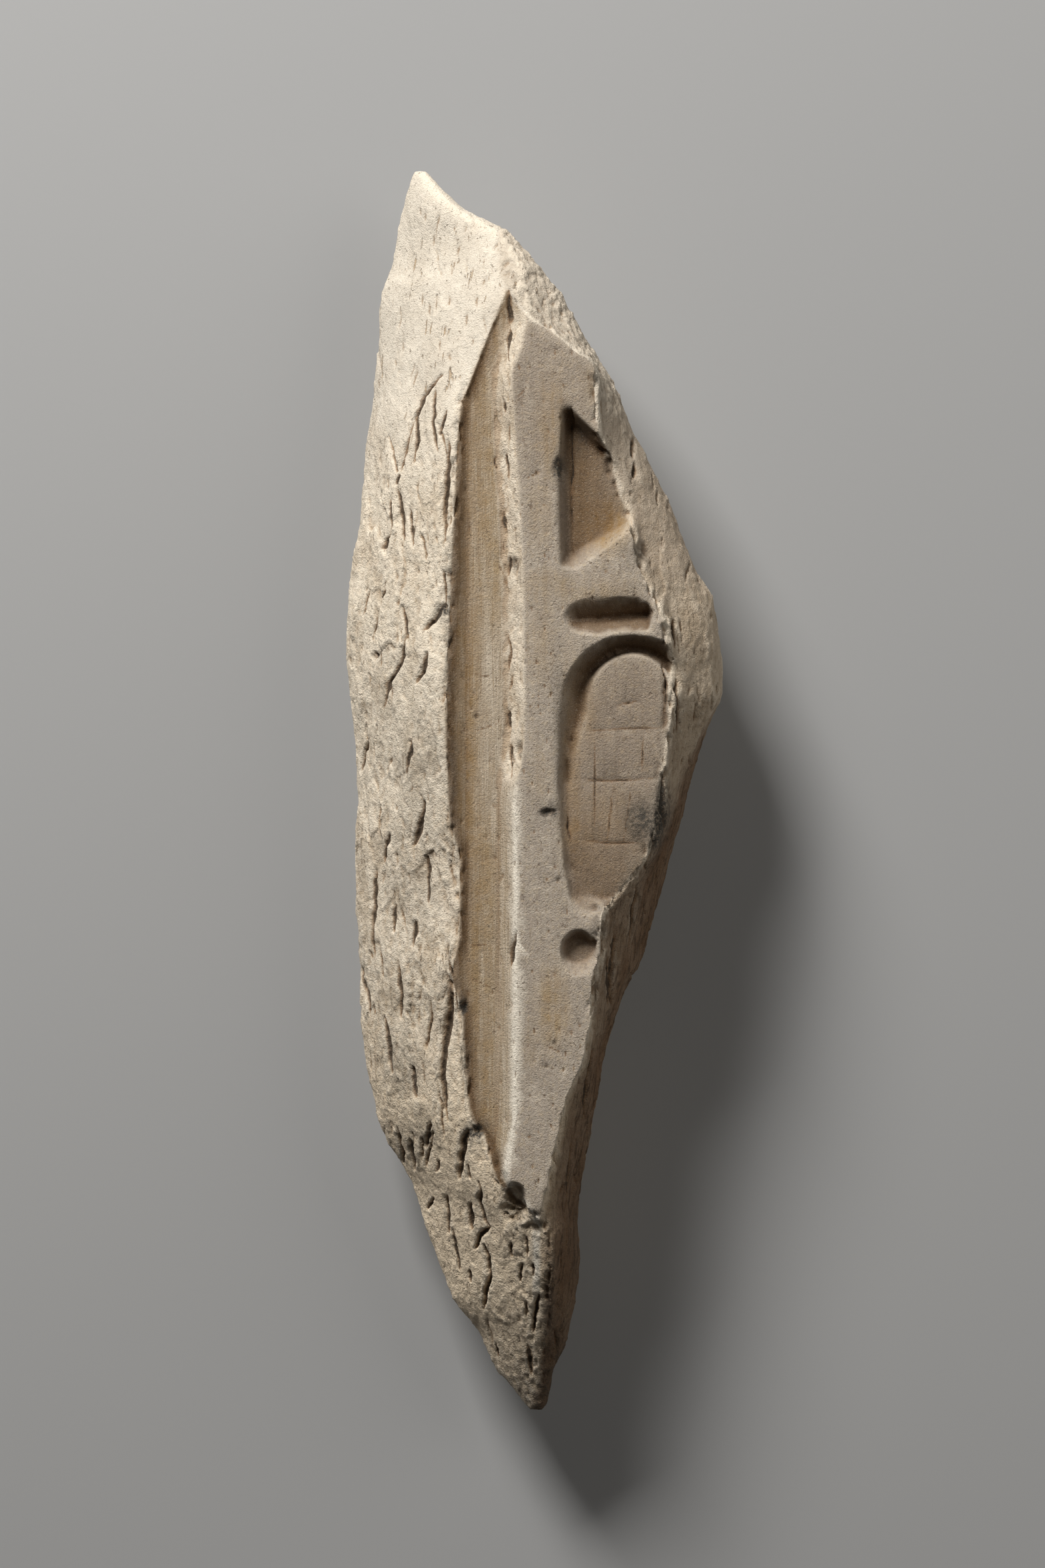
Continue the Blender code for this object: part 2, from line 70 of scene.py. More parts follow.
# Lines on the stone seen from above, from foot to head, as (y, x) in millimetres.
CHANNEL_EDGE = (
    (-104, 3), (-100, -2), (-97, -6.5), (-92.7, -9.4), (-83, -11.6), (-78.6, -15.3), (-58, -17),
    (-51.6, -17.3), (-45, -20.2), (-34.8, -17.9), (-16, -17.7), (-7, -20.4), (12.6, -21.2),
    (31.8, -20.8), (52, -19.9), (83.4, -18.4), (92, -17.7), (106.8, -12.1), (119, -7.1), (124, -6),
)
FACE_LEFT = (
    (-102, 0.3), (-98.7, -2.5), (-92.7, -7.1), (-79.5, -4.8), (-47, -4.6), (2, -4.6), (6, -3.3),
    (16, -2.5), (51, -2.8), (74, -4.1), (100, -5.7), (106, -3.5), (113, -1.9),
)
FACE_RIGHT = (
    (-103, 1), (-97.5, 2.6), (-84.6, 5.2), (-73, 7.8), (-66.3, 11.6), (-60, 12.7), (-45, 14.2),
    (-39, 16.2), (-30.6, 15.7), (-27, 17.9), (-17.4, 26.1), (-12, 28.1), (-5.1, 29.4), (3.6, 30.2),
    (13.8, 32), (30.9, 32.5), (36, 32), (43.8, 29.8), (53.4, 25.6), (63, 23.5), (80, 17.5), (86.7, 15.1),
    (102.3, 14.9), (104.4, 11.1), (110.4, 3.7), (112.8, -0.8), (119, -6), (124, -9),
)
# Past DARK_RIDGE the stone is painted brown and darker: partly an old brown break, partly painted shade on
# the side turned from the lamps.
DARK_RIDGE = (
    (-150, -1), (-140, 1.5), (-125, 3.6), (-108, 4), (-100, 5.2), (-84, 7.6), (-60, 15), (-45, 20),
    (-32, 24), (-22, 26), (-16, 28.4), (-6, 32.4), (0, 34.6), (5.9, 36.4), (12.5, 40), (20.5, 45), (30, 60),
)

# The deeper cracks: (width, depth, points), all in millimetres.
CRACKS = (
    (0.9, 1.3, ((-21.9, 100.2), (-26.6, 95), (-28.5, 89.7), (-27.9, 84.3), (-28.8, 78.5))),
    (0.7, 0.9, ((-32.2, 76.5), (-33.2, 73.5))),
    (0.7, 1.0, ((-34.2, 70.6), (-34.6, 62.7), (-35.6, 60))),
    (1.4, 1.6, ((-35.4, 61), (-36.8, 58))),
    (0.8, 1.2, ((-23.7, 96.9), (-24.3, 88.4), (-23.2, 81.1))),
    (0.7, 1.0, ((-20.9, 91.6), (-22.8, 85))),
    (1.1, 1.6, ((-20.6, 84), (-21.0, 75.1), (-21.9, 64.3))),
    (0.8, 1.2, ((-30.8, 38.6), (-32.2, 30.9), (-35.4, 25.8), (-36.4, 19.5))),
    (0.8, 1.1, ((-21.9, 45), (-23.6, 41.5), (-26.9, 38.2))),
    (1.1, 1.4, ((-25.4, 33.5), (-26.6, 28.4), (-28.8, 26))),
    (1.2, 1.6, ((-26.2, -2), (-27.5, -9.2), (-29.1, -13.6))),
    (0.8, 1.2, ((-35.0, -10), (-35.8, -13.5), (-36.4, -17.6))),
    (0.9, 1.3, ((-38.4, -18.8), (-39.0, -29.9), (-39.3, -39.9))),
    (0.8, 1.1, ((-25.6, -15.5), (-25.9, -27.3))),
    (0.9, 1.3, ((-32.9, -41.8), (-32.2, -48.4), (-32.2, -54.9))),
    (1.1, 1.5, ((-36.1, -54.3), (-35.4, -60.2), (-34.5, -68.5))),
    (1.3, 2.0, ((-20.9, -44.4), (-20.3, -52.3), (-21.6, -60.2), (-22.2, -68.8), (-20.9, -79.6))),
    (1.3, 1.8, ((-15.9, -81), (-17.2, -86), (-18.3, -93.5))),
    (1.0, 1.4, ((-25.2, -80), (-26.4, -86))),
    (0.7, 1.2, ((-21.1, -97.6), (-20.9, -103), (-20.7, -106.8))),
    (0.9, 1.7, ((-12.0, -109), (-11.2, -113), (-10.7, -117), (-12.0, -121.5), (-12.4, -126))),
    (0.8, 1.3, ((-18.0, -87.2), (-17.7, -90.5), (-18.4, -93.6))),
    (0.6, 0.9, ((-15.7, -89.6), (-15.6, -93.4))),
    (0.6, 0.9, ((-23.1, -89.0), (-23.7, -92.2))),
    (0.7, 1.0, ((-24.2, -98.2), (-26.3, -101.3))),
    (0.7, 1.2, ((-13.4, -93.6), (-13.0, -98.4), (-11.6, -103.7), (-10.6, -105.4))),
    (0.9, 1.5, ((-10.6, -104.6), (-13.0, -107.0), (-14.4, -111))),
    (0.7, 0.9, ((-15.7, -115.4), (-15.6, -118.8))),
    (0.6, 0.6, ((-19.9, -105.7), (-18.6, -111.6), (-18.0, -116))),
    (0.7, 1.0, ((-5.8, -108.6), (-5.4, -112))),
    (0.5, 0.8, ((-2.0, -106.6), (-1.7, -112))),
    (0.6, 0.9, ((-3.1, -113.6), (-3.6, -118.6))),
    (0.7, 0.9, ((-0.5, -113.8), (-0.6, -117))),
    (0.6, 0.8, ((-9.1, -133.6), (-8.7, -137))),
    (1.0, 0.9, ((-1.6, -133.5), (-0.6, -141.5))),
    (1.1, 1.6, ((-4.3, -33.5), (-5.2, -37), (-5.9, -42.2))),
    (0.9, 1.2, ((-6.4, 120.4), (-5.6, 114), (-5.1, 108.8))),
    (0.8, 1.1, ((23.8, 85), (24, 79.8))),
    (0.8, 1.0, ((24.3, 78.6), (24.4, 75))),
    (0.8, 1.2, ((33.5, 41), (34, 34.2))),
    (0.7, 1.1, ((18, -39.5), (17.7, -46), (18.6, -51.4))),
    (0.9, 1.5, ((1.1, -121), (-0.5, -131))),
    (0.8, 1.0, ((31.6, 5.5), (31, -2), (31.4, -9.5))),
    (0.8, 1.1, ((-5.9, 57), (-6.6, 51))),
    (0.6, 0.9, ((-5.7, 28), (-6.2, 20), (-5.9, 12), (-5.4, 6))),
    (0.6, 0.8, ((-6.4, 88), (-7.0, 80), (-6.6, 72))),
    (0.5, 0.8, ((9.0, 93), (9.3, 80), (9.1, 62))),
    (0.5, 0.7, ((7.9, -6), (8.6, -12))),
    (0.8, 1.1, ((-29.5, 12), (-30.4, 4))),
    (0.8, 1.2, ((-33.3, -27), (-33.8, -34))),
    (0.9, 1.2, ((-28.6, -31), (-29.2, -37.5))),
    (1.0, 1.3, ((-29.5, -66), (-28.8, -74))),
    (1.0, 1.4, ((-30.4, -84), (-28.9, -92))),
    (1.1, 1.5, ((-15.6, -99), (-15.2, -106))),
    (0.6, 0.8, ((-6.4, 117.3), (-5.8, 112), (-6.6, 105), (-6.8, 98.2))),
    (0.6, 0.7, ((-7.4, 93.6), (-7.1, 87.7))),
    (0.5, 0.6, ((-9.1, 81.8), (-9.3, 79), (-8.8, 76.5))),
    (0.6, 0.7, ((-7.1, 71.9), (-7.6, 66), (-7.3, 60.7), (-8.1, 55.4))),
    (0.7, 0.9, ((-7.7, 56.6), (-8.4, 54), (-7.1, 51.4), (-6.4, 48), (-6.6, 43), (-6.2, 38.8), (-6.1, 28.3))),
    (0.9, 1.2, ((19.6, -33.0), (18.8, -42.5), (17.6, -52.0))),
    (0.7, 1.0, ((24.8, -22.5), (23.4, -31.0), (22.9, -37.6))),
    (0.7, 1.0, ((14.2, -62.0), (12.6, -71.0), (12.1, -78.5))),
    (0.6, 0.9, ((9.4, -84.0), (8.0, -93.0), (7.8, -99.0))),
    (0.7, 1.0, ((33.8, 27.0), (34.6, 20.0), (34.2, 13.5))),
    (0.6, 0.9, ((30.9, 31.0), (31.6, 24.0), (31.2, 18.0))),
    (0.6, 0.8, ((-6.4, 20.4), (-6.7, 15.1), (-6.1, 9), (-6.1, 2.6))),
)

# Thin brown streaks on the head, as (x, y, x, y) in millimetres.
STREAKS = (
    (-28.1, 141.0, -27.5, 138.4), (-23.1, 139.4, -23.9, 132.5), (-26.5, 140.0, -26.3, 137.1),
    (-14.0, 137.7, -15.0, 135.1), (-19.0, 127.9, -20.0, 124.2), (-11.9, 128.9, -12.2, 125.2),
    (-12.0, 122.9, -12.3, 121.3), (-9.4, 131.8, -9.6, 129.8), (-23.2, 119.6, -23.4, 114.7),
    (-20.4, 119.3, -20.6, 116.7), (-26.9, 120.6, -27.2, 116.7), (-16.3, 114.7, -16.7, 111.4),
    (-15.0, 108.8, -14.9, 106.8), (-28.8, 103.5, -29.8, 98.9), (-28.0, 101.5, -29.2, 97.9),
    (-33.8, 104.5, -33.5, 102.2), (-19.3, 136.4, -19.4, 134.4), (-16.3, 136.4, -17.0, 134.4),
    (-20.3, 105.1, -20.4, 103.2), (-5.8, 124.6, -6.4, 122.6), (-5.0, 124.2, -5.4, 122.6),
    (-24.4, 134.6, -24.6, 131.0), (-18.1, 131.6, -18.6, 128.4), (-25.2, 118.2, -25.4, 114.0),
    (-13.6, 118.8, -14.0, 116.0), (-31.6, 108.8, -31.9, 105.6), (-22.6, 108.9, -22.9, 105.2),
)

# Guide lines and small tool slips, all in millimetres: (width, depth, points).
TOOL_LINES = (
    (0.60, 0.45, ((10.5, 2.9), (18, 2.3), (28.9, 3.0))),
    (0.60, 0.45, ((11.4, -11.8), (18, -12.6), (25.6, -12.4))),
    (0.60, 0.24, ((12.5, 14.4), (22, 14.9), (31.5, 15.2))),
    (0.60, 0.14, ((19.0, 1.5), (17.4, -13.6))),
    (0.60, 0.14, ((23.4, 1.5), (21.3, -13.6))),
    (0.60, 0.12, ((14.7, 14.8), (14.3, -11.8))),
    (0.60, 0.12, ((26.4, 14.6), (25.6, 3.2))),
    (0.60, 0.45, ((19.8, 20.5), (22, 20.9), (25, 21.6))),
    (0.45, 0.25, ((-4.4, 93.7), (-1.7, 96.8))),
    (0.45, 0.25, ((-2.6, 74.4), (1.6, 76.6))),
    (0.40, 0.15, ((-15.2, 28.2), (-8.6, 26.9))),
    (0.40, 0.15, ((-14.4, 14.2), (-8.2, 16.4))),
    (0.40, 0.14, ((-16.2, -37.2), (-8.4, -36.6))),
    (0.40, 0.14, ((-16.0, -44.6), (-8.2, -48.2))),
    (0.45, 0.22, ((2.5, -60.6), (6.8, -63.0))),
)

# Chips and hollows: (x, y, half width, half length, depth, how dark), in millimetres.
CHIPS = (
    (3.6, -5.2, 2.6, 1.3, 1.3, 1.0), (5.9, 77.0, 1.8, 3.4, 0.9, 0.7), (-16.9, -52.4, 1.0, 2.2, 1.0, 1.0),
    (-5.0, -100.6, 3.3, 4.1, 2.7, 0.55), (17.9, 78.0, 1.3, 2.6, 0.9, 0.5), (-21.4, 43.2, 1.3, 1.8, 1.0, 0.7),
    (-14.0, 17.8, 0.7, 0.9, 0.6, 0.8), (-38.9, 32.7, 1.2, 0.9, 1.2, 0.9), (5.8, -21.1, 0.8, 0.6, 0.5, 0.9),
    (-13.8, -82.0, 2.2, 2.0, 1.2, 1.0), (-3.9, 9.4, 0.9, 3.0, 0.8, 0.6), (26.0, 57.6, 2.2, 2.6, 0.7, 0.3),
    (-4.9, 54.0, 1.2, 2.6, 0.9, 0.6), (4.8, -60.4, 0.9, 0.7, 0.5, 0.7), (2.9, -66.2, 0.9, 0.6, 0.5, 0.7),
    (30.2, -6.0, 1.6, 4.4, 0.9, 0.7), (-18.6, 87.0, 0.9, 3.0, 0.8, 0.3), (15.0, -28.0, 2.0, 1.4, 0.7, 0.4),
    (31.2, 40.0, 1.9, 2.6, -0.9, 0.1), (14.6, -36.0, 1.0, 2.6, 0.6, 0.4), (0.4, -104.8, 3.4, 1.6, 0.9, 0.4),
)

# Grey stains that soak the surface: (x, y, half width, half length, strength), in millimetres. The one at
# (3.5, -124) darkens the foot's crevices, partly as dirt and partly as painted shade.
GREY_STAINS = (
    (25.8, -7.2, 5.0, 6.2, 1.0), (29.2, -9.5, 2.6, 6.5, 1.0), (-6.2, -95.2, 3.0, 1.2, 0.6),
    (-3.8, -104.4, 2.6, 1.2, 0.7), (-14.5, -82.0, 3.6, 3.2, 0.8),
    (3.8, -5.4, 3.8, 2.2, 0.7), (-1.0, -112.0, 9.0, 10.0, 0.10), (-29.0, -84.0, 7.0, 9.0, 0.32),
    (15.3, -33.6, 3.0, 1.6, 0.7), (31.0, -4.0, 2.6, 9.0, 0.85), (-17.0, -52.0, 1.6, 3.0, 0.8),
    (-22.5, 43.0, 2.2, 2.6, 0.6), (3.5, -124.0, 2.0, 7.0, 0.35), (6.0, 77.0, 2.4, 4.6, 0.6),
    (16.0, 97.0, 3.6, 5.0, 0.2), (-28.0, 8.0, 8.0, 16.0, 0.25), (7.6, 60.0, 1.6, 12.0, 0.35),
    (-20.6, 38.0, 1.4, 26.0, 0.45), (-19.6, 4.0, 1.3, 18.0, 0.40), (24.5, 56.0, 4.0, 4.0, 0.3),
    (5.6, 22.0, 1.8, 20.0, 0.35), (20.5, 46.0, 8.0, 1.4, 0.35), (11.5, 84.0, 2.0, 6.0, 0.5),
    (-30.0, -24.0, 8.0, 8.0, 0.3),
    (-16.5, -66.0, 1.6, 9.0, 0.45), (12.0, -112.0, 4.0, 16.0, 0.3), (-32.0, -66.0, 7.0, 9.0, 0.42),
    (33.0, 16.0, 3.0, 12.0, 0.25), (-36.0, 22.0, 5.0, 12.0, 0.18),
)

# Ochre stains, in the same way.
OCHRE_STAINS = (
    (4.4, -52.0, 4.6, 11.0, 0.65), (4.4, 87.0, 4.0, 14.0, 0.50), (3.0, 49.5, 8.0, 3.6, 0.50),
    (15.6, 97.0, 4.0, 6.0, 0.45), (17.0, 64.0, 7.5, 7.5, 0.9), (13.0, 79.0, 5.0, 10.0, 0.20),
    (11.0, 20.0, 5.0, 14.0, 0.40), (10.5, -9.0, 5.0, 9.0, 0.60), (18.0, -6.0, 9.0, 8.0, 0.30),
    (9.0, 12.0, 3.0, 26.0, 0.45), (16.0, 46.0, 10.0, 5.0, 0.45), (1.8, 36.0, 4.0, 12.0, 0.30),
    (1.5, 66.0, 3.6, 9.0, 0.30), (1.4, 4.0, 3.0, 8.0, 0.22), (-0.6, -62.0, 2.6, 6.0, 0.25),
    (11.5, 112.0, 4.0, 6.0, 0.25), (13.0, -78.0, 2.0, 12.0, 0.30),
)

# Tints that are laid over the stone's own colours. Those named SHADE are painted shade and darken what lies
# under them.
DUST = (0.36, 0.295, 0.22, 1)
GRAIN_SHADE = (0.55, 0.44, 0.32, 1)
SKIN_SPECKS = (0.26, 0.21, 0.165, 1)
SKIN_STREAKS = (0.33, 0.275, 0.22, 1)
TOOL_STREAKS = (0.34, 0.235, 0.13, 1)
PALE_HEAD = (0.640, 0.588, 0.505, 1)
BROWN_STREAKS = (0.10, 0.065, 0.04, 1)
# A pale sandy tint that is partly painted light on the foot.
SANDY_FOOT_LIGHT = (0.90, 0.74, 0.54, 1)
# Painted shade for the tip of the foot.
TIP_SHADE = (0.13, 0.105, 0.08, 1)
SUNK_SHADE = (0.39, 0.30, 0.21, 1)
# Painted shade for the shade weights.
PAINTED_SHADE = (0.45, 0.355, 0.26, 1)
# Painted highlight for the arris.
ARRIS_HIGHLIGHT = (0.90, 0.82, 0.69, 1)
HOLLOW_SHADE = (0.50, 0.38, 0.27, 1)
FISSURES = (0.42, 0.28, 0.15, 1)
PITS = (0.20, 0.140, 0.09, 1)
CRACK_RIMS = (0.24, 0.14, 0.07, 1)
SOOT = (0.085, 0.075, 0.062, 1)
GRAINS = (0.30, 0.22, 0.14, 1)


def blend(value, low, high):
    """0 below low and 1 above high, or the other way round where low is the larger."""
    part = np.clip((value - low) / (high - low), 0.0, 1.0)
    return part * part * (3 - 2 * part)


def line_at(line, y):
    """How far right the line lies at each y."""
    ys, xs = zip(*line)
    return np.interp(y, ys, xs)


def wave(points, size, seed):
    """Smooth noise from about -1 to 1, with lumps of the given size along each axis."""
    scaled = points / np.array(size) + seed * 17.31
    return np.array([noise.noise(p) for p in scaled.tolist()])


def rugged(points, size, seed):
    """Noise with finer and finer lumps on its lumps."""
    return sum(wave(points, np.array(size) / 2**k, seed + k) / 2**k for k in range(4))


def flakes(points, size, tilt, seed, weight):
    """Hollow scars: each has its own height and lean, so their rims are small sharp ledges."""
    heights = np.zeros(len(points))
    used = np.flatnonzero(weight > 0.01)
    warp = 0.28 * wave(points[used], np.array(size) * 0.8, seed + 5)
    scaled = points[used] / np.array(size) + seed * 9.7 + warp[:, None]
    for i, p in zip(used.tolist(), scaled.tolist()):
        _, near = noise.voronoi(p)
        centre = near[0]
        lean = noise.cell_vector(centre * 5.17)
        away = Vector(p) - centre
        heights[i] = (
            noise.cell(centre * 7.31) - 0.5 + tilt * away.dot(lean - Vector((0.5, 0.5, 0.5)))
            + 0.9 * away.length_squared
        )
    return heights * weight


def slits(points, size, length, width, share, seed, weight):
    """Scattered slits that run along the stone, from 0 to 1 at their middles, and the step beside each."""
    depths = np.zeros(len(points))
    steps = np.zeros(len(points))
    used = np.flatnonzero(weight > 0.01)
    scaled = points[used] / np.array(size) + seed * 5.3
    wander = 0.9 * width * rugged(points[used], (1.6, 4.2, 1.6), seed + 3)
    for i, p, drift in zip(used.tolist(), scaled.tolist(), wander.tolist()):
        _, near = noise.voronoi(p)
        centre = near[0]
        if noise.cell(centre * 11.7) > share:
            continue
        luck, lean, girth = noise.cell_vector(centre * 3.9)
        reach = length * (0.35 + 1.1 * luck)
        across = (p[0] - centre[0]) * size[0]
        along = (p[1] - centre[1]) * size[1]
        if abs(along) < reach:
            taper = 1 - (along / reach) ** 2
            off = across + along * (lean - 0.5) * 0.6 + drift
            wide = width * (0.5 + girth) * (0.25 + 0.75 * taper)
            depths[i] = max(0.0, 1 - abs(off) / wide) * min(1.0, 2 * taper)
            if off > 0:
                steps[i] = max(0.0, 1 - off / (4 * width)) * taper
    return depths * weight, steps * weight


def along_lines(flat, lines, sharpness):
    """The deepest cut of any of the lines at each point, in millimetres, and its share."""
    depth = np.zeros(len(flat))
    share = np.zeros(len(flat))
    for width, deep, points in lines:
        total = sum(math.dist(a, b) for a, b in zip(points, points[1:]))
        done = 0.0
        for start, end in zip(points, points[1:]):
            run = math.dist(start, end)
            a = np.array(start)
            b = np.array(end)
            part = np.clip(((flat - a) @ (b - a)) / run**2, 0, 1)
            off = np.linalg.norm(flat - a - part[:, None] * (b - a), axis=1)
            at = (done + part * run) / total
            taper = np.sqrt(np.clip(1 - (2 * at - 1) ** 2, 0, 1)) * 0.75 + 0.25
            cut = np.clip(1 - off / (width * taper), 0, 1) ** sharpness * taper
            depth = np.maximum(depth, cut * deep)
            share = np.maximum(share, cut)
            done += run
    return depth, share


def spots(flat, places):
    """How far off each place's middle the points lie, with 1 at its rim: one column for each place."""
    x, y = flat[:, :1], flat[:, 1:]
    table = np.array([p[:4] for p in places])
    return np.hypot((x - table[:, 0]) / table[:, 2], (y - table[:, 1]) / table[:, 3])


class Regions:
    """Which part of the stone each point belongs to, as weights from 0 to 1.

    The pairs of numbers are places and heights on the stone in millimetres, or shares of a normal.
    """

    def __init__(self, points, normals):
        x, y, z = points.T
        edge = line_at(CHANNEL_EDGE, y)
        left = line_at(FACE_LEFT, y)
        ragged = blend(y, -72, -45)
        right = line_at(FACE_RIGHT, y) + 0.45 * ragged * rugged(points, (3.2, 4.2, 3.2), seed=21)
        high = blend(z, 38, 42)
        self.worked = blend(x - edge, -0.5, 0.5) * blend(right - x, -0.5, 0.5) * high
        self.channel = self.worked * blend(left - x, -0.4, 0.4)
        on_strip = self.worked * (1 - self.channel)
        self.signs = on_strip * blend(z, 51.6, 50.9)
        self.strip = on_strip - self.signs
        self.broken = 1 - self.worked
        self.back = blend(normals[:, 2], 0.1, -0.25)
        beyond_right = self.broken * blend(x - right, 0, 2) * (1 - self.back)
        past_ridge = blend(x - line_at(DARK_RIDGE, y) + wave(points, (5, 9, 5), seed=22), -1.8, 1.8)
        # Brown: partly the old brown break, partly painted shade on the side turned from the lamps.
        self.brown = self.broken * past_ridge * (1 - self.back)
        self.head_break = beyond_right * blend(y, 88, 96)
        self.right_flank = beyond_right * (1 - self.brown) * (1 - self.head_break)
        self.left_flank = self.broken * (1 - beyond_right) * (1 - self.back)
        self.head = blend(y, 62, 104)
        self.foot = blend(y, -40, -95)
        self.tip = blend(y, -84, -92)
        self.spot = blend(z, 1.2, 0.3)
        from_arris = left - x
        self.torn_arris = (
            blend(from_arris, -0.9, 0.5) * blend(from_arris, 5.6, 4.0) * blend(y, -1, 5) * blend(y, 118, 110)
            * high
        )
        self.channel_rim = blend(np.abs(x - edge + 0.3), 1.9, 0.5) * blend(y, 104, 90) * blend(z, 36, 40)
        self.right_rim = blend(np.abs(x - right), 2.0, 0.4) * high * blend(y, 104, 98) * ragged
        self.arris = blend(np.abs(from_arris + 0.1), 1.3, 0.4) * blend(y, 6, -4) * high
        self.fibrous = self.left_flank * np.maximum(
            blend(edge - x, 5.5, 1.5) * blend(y, 6, -8), blend(x, -9, -4) * blend(y, -98, -104)
        )
        self.pointed = blend(np.abs(y), 149, 138)
        # The deep weight below is painted shade in the sunk signs: darkest on deep floors and on walls turned
        # from the key lamp, lighter on lit slopes.
        lit_slope = blend(normals[:, 1], 0.12, 0.45)
        in_wedge = blend(y, 51, 56) * blend(y, 100, 96)
        self.deep = self.signs * (1 - 0.30 * lit_slope) * np.clip(
            0.32 + 0.55 * blend(z, 50.0, 47.0) + 0.5 * blend(normals[:, 1], -0.10, -0.50)
            + in_wedge * (0.35 * blend(x, 13.5, 10.5) - 0.30 * blend(x, 14, 23))
            - 0.25 * blend(normals[:, 0], 0.2, 0.5) + 0.40 * blend(y, -2, -20) * blend(y, -32, -29), 0, 1
        ) * (1 - 0.35 * blend(y, -30, -33))
        # Painted shade, with some dirt, on the channel's left wall.
        self.deep += 0.85 * self.channel * blend(x - edge, 3.4, 1.2) * blend(y, 112, 100)
        across = np.clip((x - edge) / np.maximum(left - edge, 1), 0, 1)
        # lip: the lit lower slope of the bar, which is darkened in paint.
        lip = self.signs * lit_slope * blend(y, 36, 39) * blend(y, 50, 46)
        # Painted shade on the right flank, the break beside the head, the bar's lit lip, the brown lower
        # right and the channel's left part, with a darker tint at the top of the strip.
        self.shade = np.clip(
            0.28 * self.head_break + 0.45 * self.right_flank + 0.15 * self.right_flank * blend(y, 30, 10)
            + 0.9 * lip + 0.45 * self.brown
            + 0.30 * self.channel * blend(across, 0.62, 0.28) + 0.22 * self.strip * blend(y, 55, 85), 0, 1
        )
        high_part = blend(y, 34, 46)
        middle_part = blend(y, -12, 0) * (1 - high_part)
        self.ochre = 0.85 * self.channel * blend(across, 0.97, 0.80) * (
            0.62 * high_part + (0.75 * blend(across, 0.5, 0.28) + 0.15) * middle_part
            + (0.35 + 0.4 * blend(across, 0.75, 0.35)) * (1 - high_part - middle_part)
        )


class StoneSizes(bpy.types.PropertyGroup):
    """How coarse the surface of the stone is."""

    mesh_step: bpy.props.FloatProperty(
        name="Mesh step", description="Spacing of the surface's points on the back",
        default=1.0 * MM, min=0.8 * MM, subtype="DISTANCE", unit="LENGTH",
    )
    flake_height: bpy.props.FloatProperty(
        name="Flake height", description="How far the scales of the left flank differ in height",
        default=1.1 * MM, min=0.0, subtype="DISTANCE", unit="LENGTH",
    )
    slit_depth: bpy.props.FloatProperty(
        name="Slit depth", description="Depth of the scattered natural slits",
        default=1.3 * MM, min=0.0, subtype="DISTANCE", unit="LENGTH",
    )
    pit_depth: bpy.props.FloatProperty(
        name="Pit depth", description="Depth of the small pits in the worked surfaces",
        default=0.35 * MM, min=0.0, subtype="DISTANCE", unit="LENGTH",
    )
    grain_height: bpy.props.FloatProperty(
        name="Grain height", description="Height of the fine grain of the breaks",
        default=0.22 * MM, min=0.0, subtype="DISTANCE", unit="LENGTH",
    )
    striation_height: bpy.props.FloatProperty(
        name="Striation height", description="Height of the fine tool lines along the channel",
        default=0.07 * MM, min=0.0, subtype="DISTANCE", unit="LENGTH",
    )


def colour_property(name, description, colour):
    return bpy.props.FloatVectorProperty(
        name=name, description=description, default=colour, size=4, min=0.0, max=1.0, subtype="COLOR"
    )


class StoneColours(bpy.types.PropertyGroup):
    """The colours of the stone and of what has soaked into it."""

    cream: colour_property("Cream", "Clean broken limestone", (0.790, 0.695, 0.560, 1))
    beige: colour_property("Beige", "Warmer patches of the breaks", (0.530, 0.430, 0.310, 1))
    film: colour_property("Film", "Greyish skin of the worked face", (0.450, 0.382, 0.310, 1))
    ochre: colour_property("Ochre", "Stain in the channel and the signs", (0.400, 0.270, 0.130, 1))
    # The brown is partly the stone's old brown break and partly painted shade on the lower right, which faces
    # away from the lamps.
    brown: colour_property("Brown", "Old brown break on the lower right", (0.270, 0.170, 0.100, 1))
    dirt: colour_property("Dirt", "Dark dirt in pits and cracks", (0.060, 0.045, 0.032, 1))


class StageSettings(bpy.types.PropertyGroup):
    """The floor, the lamps and the camera."""

    floor_colour: colour_property("Floor", "Plain pale floor", (0.340, 0.340, 0.340, 1))
    camera_height: bpy.props.FloatProperty(
        name="Camera height", description="Height of the camera above the floor",
        default=3.0, min=0.5, subtype="DISTANCE", unit="LENGTH",
    )
    key_power: bpy.props.FloatProperty(
        name="Key power", description="Power of the main lamp", default=27.5, min=0.0, subtype="POWER"
    )
    fill_power: bpy.props.FloatProperty(
        name="Fill power", description="Power of the soft lamp", default=4.0, min=0.0, subtype="POWER"
    )


def even_mesh(node, step):
    """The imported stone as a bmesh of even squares, and a tree to find its true surface with."""
    merged = bmesh.new()
    merged.from_mesh(node.data)
    bmesh.ops.remove_doubles(merged, verts=merged.verts, dist=1e-6)
    tree = BVHTree.FromBMesh(merged)
    data = bpy.data.meshes.new("merged_stone")
    merged.to_mesh(data)
    merged.free()
    carrier = bpy.data.objects.new("merged_stone", data)
    bpy.context.scene.collection.objects.link(carrier)
    remesh = carrier.modifiers.new("even squares", "REMESH")
    remesh.mode = "VOXEL"
    remesh.voxel_size = step
    even = bpy.data.meshes.new_from_object(carrier.evaluated_get(bpy.context.evaluated_depsgraph_get()))
    bpy.data.objects.remove(carrier)
    stone = bmesh.new()
    stone.from_mesh(even)
    bpy.data.meshes.remove(even)
    bpy.data.meshes.remove(data)
    return stone, tree


def refine(stone, wanted):
    """Halves the squares whose middle is wanted."""
    faces = [face for face in stone.faces if wanted(face.calc_center_median() / MM, face.normal)]
    edges = {edge for face in faces for edge in face.edges}
    bmesh.ops.subdivide_edges(stone, edges=list(edges), cuts=1, use_grid_fill=True)
    stone.normal_update()


